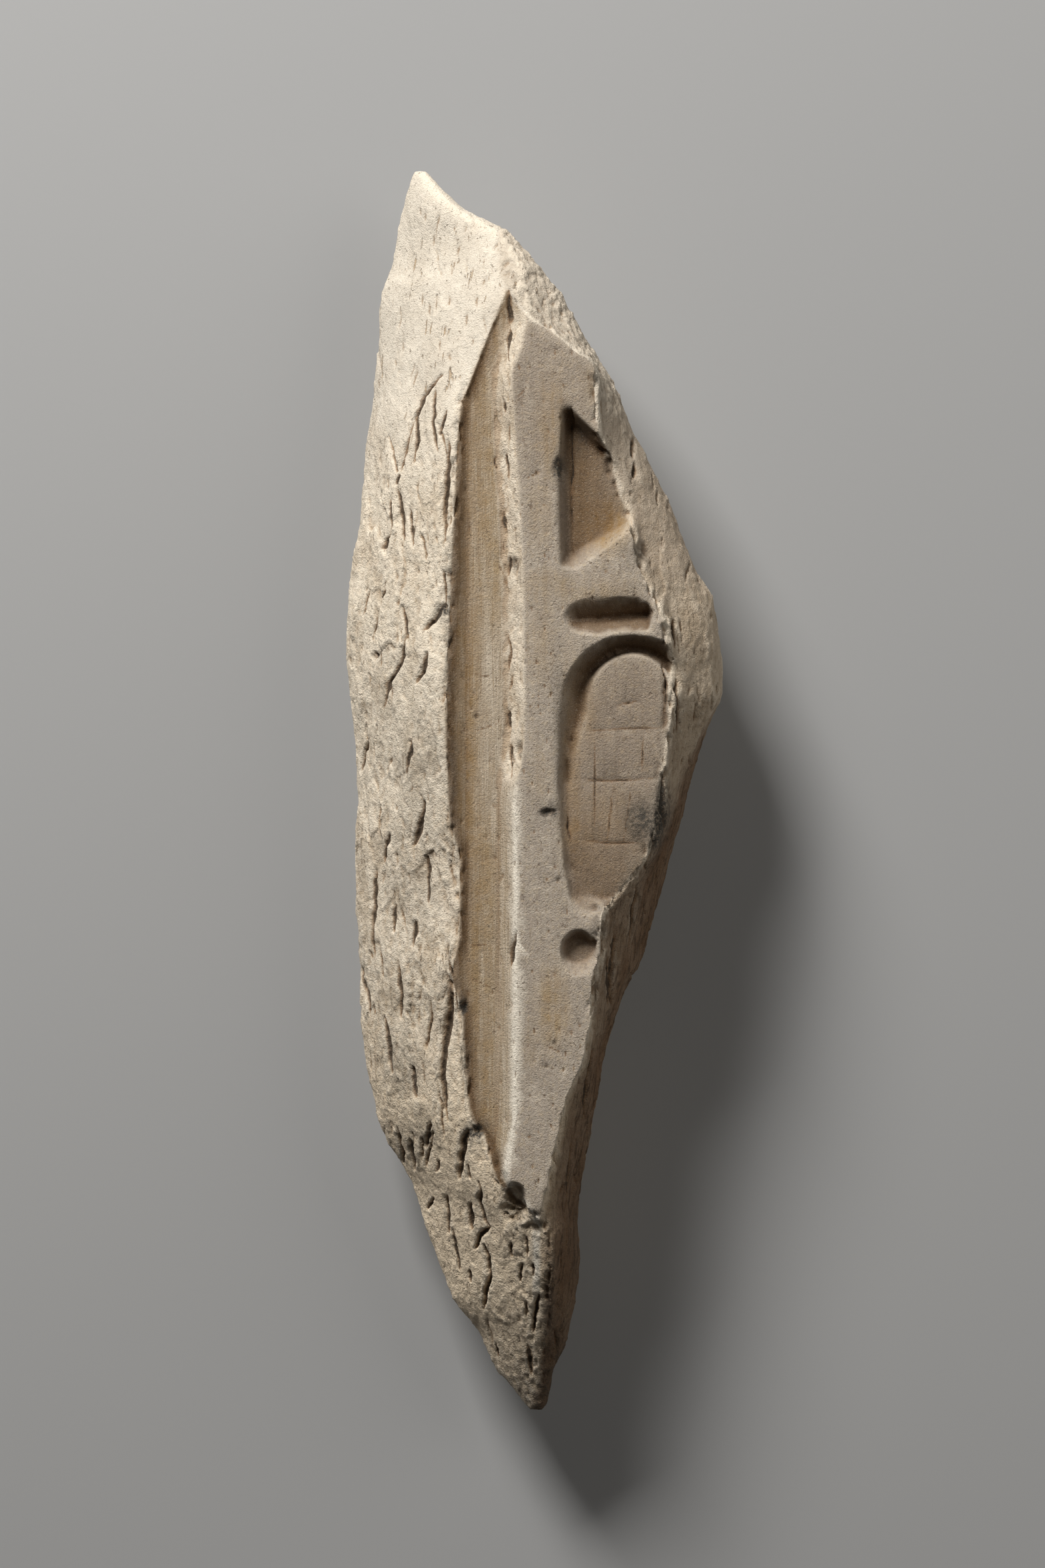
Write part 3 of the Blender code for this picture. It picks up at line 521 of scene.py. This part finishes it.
def settle(stone, tree):
    """Puts every point back on the true surface."""
    for vert in stone.verts:
        vert.co = tree.find_nearest(vert.co)[0]
    stone.normal_update()


def read(stone):
    """The points in millimetres and their normals, as rows of numbers."""
    points = np.array([vert.co for vert in stone.verts]) / MM
    normals = np.array([vert.normal for vert in stone.verts])
    return points, normals


def smooth(stone, verts, rounds):
    """Moves the points towards the middle of their neighbours, again and again."""
    for _ in range(rounds):
        bmesh.ops.smooth_vert(
            stone, verts=verts.tolist(), factor=0.5, use_axis_x=True, use_axis_y=True, use_axis_z=True
        )


def soften(stone):
    """Melts the flat facets of the breaks together, and wears the worked edges a little."""
    points, normals = read(stone)
    regions = Regions(points, normals)
    verts = np.array(stone.verts)
    x, y = points[:, 0], points[:, 1]
    beside_arch = regions.worked * blend(np.abs(x - 8.5), 6.2, 5) * blend(y, -34, -28) * blend(y, 30, 24)
    beside_wedge = regions.worked * blend(np.abs(x - 8), 3.2, 2) * blend(y, 56, 60) * blend(y, 96, 92)
    smooth(stone, verts[(regions.broken > 0.6) & (regions.spot < 0.5)], rounds=16)
    smooth(stone, verts[regions.worked > 0.2], rounds=2)
    smooth(stone, verts[beside_arch > 0.3], rounds=22)
    smooth(stone, verts[beside_wedge > 0.3], rounds=18)
    stone.normal_update()


def relief(points, regions, sizes):
    """How far each point moves outwards, in millimetres, and the paint weights that go with it."""
    flat = points[:, :2].copy()
    flat[:, 0] += 0.40 * wave(points, (2.2, 3.0, 2.2), seed=1) + 0.16 * wave(points, (0.9, 0.9, 0.9), seed=11)
    flat[:, 1] += 0.45 * wave(points, (2.2, 2.2, 2.2), seed=2)
    y = points[:, 1]
    up = blend(regions.back, 0.6, 0.2)
    flank = regions.left_flank
    firm = (1 - regions.spot) * (0.25 + 0.75 * regions.pointed)
    coarse = firm * (
        flank * (1 - 0.7 * regions.head) * (1 - 0.5 * regions.foot - 0.2 * regions.tip)
        + 0.35 * regions.right_flank + 0.65 * regions.head_break + 0.45 * regions.brown
        + 0.6 * regions.back * regions.broken
    )
    scales = 0.36 * flakes(points, (7, 22, 9), tilt=1.0, seed=1, weight=coarse)
    scales += 0.17 * flakes(points, (2.8, 6.0, 3.2), tilt=1.1, seed=2, weight=coarse)
    height = sizes.flake_height / MM * scales
    height += 0.5 * coarse * rugged(points, (9, 20, 10), seed=3)
    grain = regions.broken * (0.8 - 0.4 * regions.head * flank) + 1.3 * regions.head_break
    height += grain * sizes.grain_height / MM * rugged(points, (1.5, 2.1, 1.5), seed=4)
    height += regions.worked * 0.14 * wave(points, (5, 12, 5), seed=5)
    height -= 0.6 * firm * regions.fibrous * np.abs(wave(points, (1.1, 8, 1.4), seed=9))

    here = firm * blend(wave(points, (13, 26, 13), seed=31), -0.25, 0.15)
    low_flank = flank * regions.foot * (1 - regions.tip)
    long_slit, long_step = slits(
        points, (5.2, 19, 8), length=7.5, width=0.34, share=0.08, seed=1,
        weight=here * flank * (1 - 0.7 * regions.head),
    )
    deep_slit, deep_step = slits(
        points, (8.5, 26, 10), length=9.0, width=0.42, share=0.09, seed=5, weight=here * low_flank
    )
    short_slit, short_step = slits(
        points, (2.8, 7.5, 4), length=2.4, width=0.30, share=0.07, seed=2,
        weight=here * flank * (0.7 - 0.5 * regions.head) * (1 - 0.8 * regions.tip)
        + firm * (0.65 * regions.right_flank + 0.4 * regions.head_break + 0.7 * regions.brown),
    )
    pit, _ = slits(
        points, (3.4, 4.6, 3.4), length=0.8, width=0.45, share=0.14, seed=4,
        weight=regions.strip + 0.7 * regions.channel,
    )
    height -= sizes.slit_depth / MM * np.maximum(long_slit, 0.6 * short_slit) + 1.4 * deep_slit
    height -= sizes.pit_depth / MM * pit
    height -= 0.5 * long_step + 0.6 * deep_step + 0.2 * short_step

    cracks = [(CRACK_WIDTH_SHARE * width, CRACK_DEPTH_SHARE * depth, line) for width, depth, line in CRACKS]
    crack_depth, crack_share = along_lines(flat, cracks, sharpness=0.8)
    gaps = regions.torn_arris * blend(wave(points, (3, 5, 3), seed=33), 0.15, -0.15)
    unbroken = up * (1 - 0.85 * gaps)
    height -= crack_depth * unbroken
    streaks = [(STREAK_WIDTH, STREAK_DEPTH, (streak[:2], streak[2:])) for streak in STREAKS]
    streak_depth, streak_share = along_lines(flat, streaks, sharpness=0.8)
    height -= streak_depth * up
    line_depth, line_share = along_lines(points[:, :2], TOOL_LINES, sharpness=1.2)
    height -= line_depth * regions.worked

    rims = np.maximum(regions.channel_rim, regions.right_rim)
    edge_chips = rims * blend(rugged(points, (2.4, 5.0, 2.4), seed=12), 0.0, 0.55)
    height -= 0.9 * edge_chips
    chipped = 0.5 + 0.6 * rugged(points, (1.8, 5.5, 1.8), seed=7)
    torn = regions.torn_arris * np.clip(chipped + 0.35, 0, 1)
    height -= torn * (0.15 + 0.7 * chipped)
    fall = blend(spots(flat, CHIPS), 1.15, 0.35)
    chip_depths, chip_dirt = np.array(CHIPS).T[4:]
    uneven = 0.75 + 0.5 * wave(points, (1.1, 1.1, 1.1), seed=8)
    height -= (fall * chip_depths).sum(axis=1) * up * uneven

    def stained(stains):
        """The strongest of the stains at each point."""
        return (blend(spots(flat, stains), 1.3, 0.25) * np.array(stains)[:, 4]).max(axis=1) * up

    cuts = (
        long_slit, 0.7 * short_slit, deep_slit, crack_share * unbroken, 0.6 * pit,
        0.8 * line_share * regions.worked, 0.35 * edge_chips, 0.45 * streak_share,
    )
    paint = {
        "worked": regions.worked * (1 - torn) + 0.6 * regions.right_flank * blend(y, 44, 56),
        "channel": regions.channel * (1 - torn),
        # Brown paint, partly stain and partly painted shade on the lower right and the low part of the right
        # flank.
        "brown": regions.brown + 0.55 * regions.right_flank * blend(y, 10, -20),
        # Painted shade in the sunk signs and on the channel's left wall.
        "deep": np.clip(regions.deep, 0, 1),
        "ochre": np.maximum(regions.ochre, stained(OCHRE_STAINS) * regions.worked) * (1 - torn),
        "open": np.clip(np.maximum.reduce(cuts), 0, 1),
        "grime": np.clip(stained(GREY_STAINS) + 0.8 * (fall * chip_dirt).max(axis=1) * up, 0, 1),
        "head": regions.head * regions.broken,
        "foot": regions.foot * regions.broken,
        "arris": regions.arris,
        "dusty": np.maximum(blend(y, 20, -90) * regions.broken, 0.9 * regions.head_break),
        # Where the tip of the foot gets painted shade.
        "tip": blend(y, -116, -150) * regions.broken,
        # Painted shade, with a little tint, on the flanks, the bar's lip and the channel.
        "shade": regions.shade,
    }
    return height, paint


def hollowness(mesh, rounds=10):
    """How much lower each point lies than its neighbours, softened, in millimetres."""
    count = len(mesh.vertices)
    co = np.empty(count * 3)
    mesh.vertices.foreach_get("co", co)
    co = co.reshape(-1, 3) / MM
    normal = np.empty(count * 3)
    mesh.vertices.foreach_get("normal", normal)
    normal = normal.reshape(-1, 3)
    ends = np.empty(len(mesh.edges) * 2, int)
    mesh.edges.foreach_get("vertices", ends)
    first, second = ends.reshape(-1, 2).T
    degree = np.maximum(np.bincount(ends, minlength=count), 1)

    def around(values):
        """The mean of each point's neighbours."""
        total = np.zeros_like(values)
        np.add.at(total, first, values[second])
        np.add.at(total, second, values[first])
        return total / (degree[:, None] if values.ndim == 2 else degree)

    softened = co
    for _ in range(rounds):
        softened = around(softened)
    hollow = ((softened - co) * normal).sum(axis=1)
    return 0.5 * hollow + 0.5 * around(hollow)


def thinned(fine, most):
    """The same surface in fewer triangles, with its detail kept and its flat parts drawn plainer."""
    carrier = bpy.data.objects.new("fine_stone", fine)
    bpy.context.scene.collection.objects.link(carrier)
    triangles = sum(len(face.vertices) - 2 for face in fine.polygons)
    fewer = carrier.modifiers.new("fewer triangles", "DECIMATE")
    fewer.ratio = min(1.0, most / triangles)
    light = bpy.data.meshes.new_from_object(carrier.evaluated_get(bpy.context.evaluated_depsgraph_get()))
    bpy.data.objects.remove(carrier)
    bpy.data.meshes.remove(fine)
    return light


class Wire:
    """One output of a node. Arithmetic on it adds Math nodes, and make adds any other node."""

    def __init__(self, tree, socket=None):
        self.tree = tree
        self.socket = socket

    def make(self, kind, settings=None, inputs=None, output=0):
        node = self.tree.nodes.new(kind)
        for name, value in (settings or {}).items():
            setattr(node, name, value)
        for name, value in (inputs or {}).items():
            if isinstance(value, Wire):
                self.tree.links.new(value.socket, node.inputs[name])
            else:
                node.inputs[name].default_value = value
        return Wire(self.tree, node.outputs[output])

    def maths(self, operation, first, second):
        return self.make("ShaderNodeMath", {"operation": operation}, {0: first, 1: second})

    def __add__(self, other):
        return self.maths("ADD", self, other)

    __radd__ = __add__

    def __sub__(self, other):
        return self.maths("SUBTRACT", self, other)

    def __rsub__(self, other):
        return self.maths("SUBTRACT", other, self)

    def __mul__(self, other):
        return self.maths("MULTIPLY", self, other)

    __rmul__ = __mul__

    def attribute(self, name):
        return self.make("ShaderNodeAttribute", {"attribute_name": name}, output="Fac")

    def stretched(self, scale):
        return self.make("ShaderNodeVectorMath", {"operation": "MULTIPLY"}, {0: self, 1: scale})

    def noise(self, scale, detail=3.0, roughness=0.55):
        return self.make(
            "ShaderNodeTexNoise", {"noise_dimensions": "3D"},
            {"Vector": self, "Scale": scale, "Detail": detail, "Roughness": roughness},
        )

    def scars(self, scale, detail):
        return self.make(
            "ShaderNodeTexVoronoi", {"feature": "F1"}, {"Vector": self, "Scale": scale, "Detail": detail}
        )

    def ramp(self, low, high):
        """A soft step from 0 at low to 1 at high, or the other way round where low is the larger."""
        return self.make(
            "ShaderNodeMapRange", {"interpolation_type": "SMOOTHSTEP"},
            {"Value": self, "From Min": low, "From Max": high, "To Min": 0.0, "To Max": 1.0},
        )

    def painted(self, colour, share, blend_type="MIX"):
        """This colour with another laid over it."""
        return self.make(
            "ShaderNodeMix", {"data_type": "RGBA", "blend_type": blend_type, "clamp_factor": True},
            {0: share, 6: self, 7: colour}, output=2,
        )


def limestone(colours, sizes):
    """Cream limestone with a grey skin, ochre stains, brown breaks and dark dirt in its pits, with painted
    shade in its hollows, sunk signs and turned-away sides, and painted highlights on its ridges.
    """
    material = bpy.data.materials.new("weathered_limestone")
    material.use_nodes = True
    tree = material.node_tree
    shader = tree.nodes["Principled BSDF"]
    maker = Wire(tree)
    place = maker.make("ShaderNodeTexCoord", output="Object").stretched((1 / MM,) * 3)
    worked, channel, ochre = (maker.attribute(name) for name in ("worked", "channel", "ochre"))
    opened, grime, hollow = (maker.attribute(name) for name in ("open", "grime", "hollow"))
    brown, head, foot, dusty = (maker.attribute(name) for name in ("brown", "head", "foot", "dusty"))
    deep, arris, shade, tip = (maker.attribute(name) for name in ("deep", "arris", "shade", "tip"))
    broken = 1 - worked

    patches = place.stretched((1, 0.6, 1)).noise(0.11, 5.0, 0.62)
    mottle = place.noise(0.32, 5.0, 0.7)
    rough = place.stretched((1, 0.75, 1)).noise(0.62, 6.0, 0.70)
    fine = place.noise(0.9, 4.0, 0.65)
    grains = place.noise(2.4, 3.0, 0.65)
    fibres = place.stretched((1, 0.10, 1)).noise(0.85, 4.0, 0.60)
    pores = place.stretched((1, 0.7, 1)).noise(0.95, 3.0, 0.6)
    streaks = place.stretched((1, 0.035, 1)).noise(0.5, 4.0, 0.6)
    thin_streaks = place.stretched((1, 0.03, 1)).noise(2.8, 3.0, 0.6)
    scars = place.stretched((1, 0.6, 1)).scars(0.62, 2.0)
    fissure = fibres.ramp(0.385, 0.325) * patches.ramp(0.44, 0.54) * broken
    pitted = pores.ramp(0.350, 0.300)

    cream, beige, film, brown_stone, ochre_stain, dirt = (
        tuple(colour) for colour in
        (colours.cream, colours.beige, colours.film, colours.brown, colours.ochre, colours.dirt)
    )
    plain = maker.make("ShaderNodeRGB")
    plain.socket.default_value = cream
    stone = plain.painted(beige, patches.ramp(0.44, 0.66) * 0.6)
    stone = stone.painted(beige, fine.ramp(0.48, 0.72) * 0.45)
    stone = stone.painted(DUST, mottle.ramp(0.42, 0.66) * dusty * 0.7)
    # Painted shade in the low parts of the grain, stronger towards the foot.
    stone = stone.painted(GRAIN_SHADE, rough.ramp(0.52, 0.36) * (0.24 + 0.41 * dusty), "MULTIPLY")
    plain_skin = maker.make("ShaderNodeRGB")
    plain_skin.socket.default_value = film
    skin = plain_skin.painted(cream, mottle.ramp(0.48, 0.70) * 0.35)
    skin = skin.painted(beige, fine.ramp(0.50, 0.64) * 0.60)
    skin = skin.painted(SKIN_SPECKS, rough.ramp(0.47, 0.33) * (0.62 + 0.2 * channel))
    skin = skin.painted(SKIN_STREAKS, streaks.ramp(0.52, 0.36) * (0.25 + 0.25 * channel))
    skin = skin.painted(beige, channel * 0.55)
    skin = skin.painted(cream, channel * streaks.ramp(0.50, 0.66) * 0.35)
    skin = skin.painted(cream, channel * thin_streaks.ramp(0.51, 0.62) * 0.45)
    skin = skin.painted(TOOL_STREAKS, thin_streaks.ramp(0.45, 0.36) * (0.15 + 0.25 * channel))
    sandy = ochre * (0.60 + 0.40 * streaks.ramp(0.62, 0.40)) * (0.65 + 0.7 * mottle.ramp(0.35, 0.62))
    skin = skin.painted(ochre_stain, sandy)
    tone = stone.painted(skin, worked)
    tone = tone.painted(PALE_HEAD, head * 0.6)
    # Brown on the lower right: partly an old break, partly painted shade.
    tone = tone.painted(brown_stone, brown * (0.55 + 0.7 * patches))
    tone = tone.painted(BROWN_STREAKS, brown * fibres.ramp(0.52, 0.38) * 0.7)
    # A pale sandy tint on the foot that is also painted light, lifting the foot, which faces away from the
    # key lamp.
    tone = tone.painted(SANDY_FOOT_LIGHT, foot * (0.56 + 0.5 * mottle) * (1 - brown))
    # Painted shade on the far tip of the foot.
    tone = tone.painted(TIP_SHADE, tip * (0.55 + 0.45 * rough.ramp(0.40, 0.60)) * 0.95)
    # Painted shade in the sunk signs and on the channel's left wall.
    tone = tone.painted(SUNK_SHADE, deep, "MULTIPLY")
    # Painted shade, with a little tint, where the shade weights say.
    tone = tone.painted(PAINTED_SHADE, shade, "MULTIPLY")
    # Painted highlight on the ridges and rims that stand above their neighbours, weaker on the worked face.
    ridge_highlight = hollow.ramp(-0.02, -0.20) * 0.45 * (1 - 0.7 * worked) * (1 - brown)
    tone = tone.painted(cream, ridge_highlight)
    # Painted highlight along the arris on the channel's right edge.
    tone = tone.painted(ARRIS_HIGHLIGHT, arris * rough.ramp(0.24, 0.50))
    # Painted shade in the hollows of the surface, a little weaker on the foot.
    tone = tone.painted(HOLLOW_SHADE, hollow.ramp(0.02, 0.28) * (0.60 - 0.05 * foot), "MULTIPLY")
    tone = tone.painted(FISSURES, fissure * (0.30 + 0.35 * head))
    tone = tone.painted(PITS, pitted * 0.60)
    edge = opened + (fine - 0.5) * 0.5
    tone = tone.painted(CRACK_RIMS, edge.ramp(0.18, 0.50) * 0.65)
    tone = tone.painted(dirt, edge.ramp(0.42, 0.70) * 0.85)
    soot = grime * (0.38 + 0.8 * fine.ramp(0.36, 0.60)) * 0.96
    tone = tone.painted(SOOT, soot)
    tone = tone.painted(GRAINS, grains.ramp(0.55, 0.66) * (0.28 + 0.14 * worked))
    tone = tone.painted(cream, grains.ramp(0.42, 0.30) * 0.25 * worked)

    gravel = (rough * 0.60 + fine * 0.40 + scars * 0.20) * broken * (1 - 0.45 * head + 0.6 * foot)
    grit = grains * 0.30 + place.noise(5.5, 1.0, 0.5) * 0.09
    crinkles = place.stretched((1.3, 0.8, 1)).noise(1.5, 5.0, 0.72) * (0.48 + 0.10 * channel) * worked
    lines = (thin_streaks + streaks) * channel * (sizes.striation_height / MM) * 1.2
    holes = fissure * (0.25 + 0.20 * dusty) + pitted * 0.16
    rise = gravel + grit + crinkles + lines - holes
    bump = maker.make("ShaderNodeBump", None, {"Height": rise, "Distance": MM, "Strength": 1.0})
    roughness = 0.94 - 0.10 * worked
    for name, wire in (("Base Color", tone), ("Roughness", roughness), ("Normal", bump)):
        tree.links.new(wire.socket, shader.inputs[name])
    shader.inputs["Specular IOR Level"].default_value = 0.25
    return material


def plain_material(name, colour, roughness):
    material = bpy.data.materials.new(name)
    material.use_nodes = True
    shader = material.node_tree.nodes["Principled BSDF"]
    shader.inputs["Base Color"].default_value = colour
    shader.inputs["Roughness"].default_value = roughness
    return material


class RELIEF_OT_stone(bpy.types.Operator):
    """Make the stone's fine broken and carved surface from its solid"""

    bl_idname = "relief.stone"
    bl_label = "Carved stone"

    def execute(self, context):
        sizes = context.scene.relief_sizes
        stone, tree = even_mesh(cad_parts["relief_fragment"], sizes.mesh_step)
        refine(stone, lambda centre, normal: normal.z > 0.08)
        settle(stone, tree)
        soften(stone)
        points, normals = read(stone)
        height, paint = relief(points, Regions(points, normals), sizes)
        for vert, rise, normal in zip(stone.verts, height.tolist(), normals.tolist()):
            vert.co += Vector(normal) * rise * MM
            vert.co.z = max(vert.co.z, 0.0)
        data = bpy.data.meshes.new("carved_stone")
        stone.to_mesh(data)
        stone.free()
        data.shade_smooth()
        paint["hollow"] = hollowness(data)
        for name, values in paint.items():
            data.attributes.new(name, "FLOAT", "POINT").data.foreach_set("value", values.astype(np.float32))
        data = thinned(data, MOST_TRIANGLES)
        data.name = "carved_stone"
        data.materials.append(limestone(context.scene.relief_colours, sizes))
        piece = bpy.data.objects.new("carved_stone", data)
        context.scene.collection.objects.link(piece)
        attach(piece, "root")
        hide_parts("relief_fragment")
        triangles = sum(len(face.vertices) - 2 for face in data.polygons)
        print("carved_stone triangles", triangles)
        if triangles >= TRIANGLE_LIMIT:
            raise RuntimeError("the stone has too many triangles: raise its mesh step")
        return {"FINISHED"}


def area_lamp(name, place, power, size, colour):
    """A square lamp that points at the stone."""
    lamp = bpy.data.lights.new(name, "AREA")
    lamp.energy = power
    lamp.shape = "SQUARE"
    lamp.size = size
    lamp.color = colour
    holder = bpy.data.objects.new(name, lamp)
    bpy.context.scene.collection.objects.link(holder)
    holder.location = place
    holder.rotation_euler = (-Vector(place)).to_track_quat("-Z", "Y").to_euler()


class RELIEF_OT_stage(bpy.types.Operator):
    """Make the plain floor, the lamps and the camera that looks straight down"""

    bl_idname = "relief.stage"
    bl_label = "Stage"

    def execute(self, context):
        stage = context.scene.relief_stage
        mesh = bmesh.new()
        bmesh.ops.create_grid(mesh, x_segments=1, y_segments=1, size=FLOOR_SIZE)
        data = bpy.data.meshes.new("floor")
        mesh.to_mesh(data)
        mesh.free()
        data.materials.append(plain_material("pale_floor", stage.floor_colour, 0.9))
        floor = bpy.data.objects.new("floor", data)
        context.scene.collection.objects.link(floor)

        area_lamp("key", KEY_PLACE, stage.key_power, size=0.44, colour=(1.0, 0.985, 0.96))
        area_lamp("fill", FILL_PLACE, stage.fill_power, size=0.9, colour=(1.0, 0.97, 0.92))
        world = bpy.data.worlds.new("soft_room")
        world.use_nodes = True
        sky = world.node_tree.nodes["Background"]
        sky.inputs["Color"].default_value = (1.0, 0.97, 0.93, 1)
        sky.inputs["Strength"].default_value = 0.05
        context.scene.world = world
        context.scene.view_settings.view_transform = "Standard"

        lens = bpy.data.cameras.new("camera")
        holder = bpy.data.objects.new("camera", lens)
        context.scene.collection.objects.link(holder)
        lens.sensor_fit = "VERTICAL"
        lens.sensor_height = 36.0
        lens.sensor_width = lens.sensor_height * PHOTO_PIXELS[0] / PHOTO_PIXELS[1]
        lens.lens = lens.sensor_height * (stage.camera_height - OUTLINE_HEIGHT) / FRAMED_LENGTH
        lens.clip_end = 20.0
        holder.location = (*PICTURE_MIDDLE, stage.camera_height)
        context.scene.camera = holder
        return {"FINISHED"}


class RELIEF_PT_panel(bpy.types.Panel):
    """Sizes, colours and the steps that make the scene"""

    bl_idname = "RELIEF_PT_panel"
    bl_label = "Tomb relief fragment"
    bl_space_type = "VIEW_3D"
    bl_region_type = "UI"
    bl_category = "Relief"

    def draw(self, context):
        scene = context.scene
        for group in (scene.relief_sizes, scene.relief_colours, scene.relief_stage):
            box = self.layout.box()
            for name in group.bl_rna.properties.keys():
                if name not in ("rna_type", "name"):
                    box.prop(group, name)
        for operator in (RELIEF_OT_stone, RELIEF_OT_stage):
            self.layout.operator(operator.bl_idname)


CLASSES = (
    StoneSizes, StoneColours, StageSettings, RELIEF_OT_stone, RELIEF_OT_stage, RELIEF_PT_panel
)


def register():
    for cls in CLASSES:
        bpy.utils.register_class(cls)
    bpy.types.Scene.relief_sizes = bpy.props.PointerProperty(type=StoneSizes)
    bpy.types.Scene.relief_colours = bpy.props.PointerProperty(type=StoneColours)
    bpy.types.Scene.relief_stage = bpy.props.PointerProperty(type=StageSettings)


def unregister():
    del bpy.types.Scene.relief_stage
    del bpy.types.Scene.relief_colours
    del bpy.types.Scene.relief_sizes
    for cls in reversed(CLASSES):
        bpy.utils.unregister_class(cls)


def main():
    register()
    bpy.ops.relief.stone()
    bpy.ops.relief.stage()


if __name__ == "__main__":
    main()
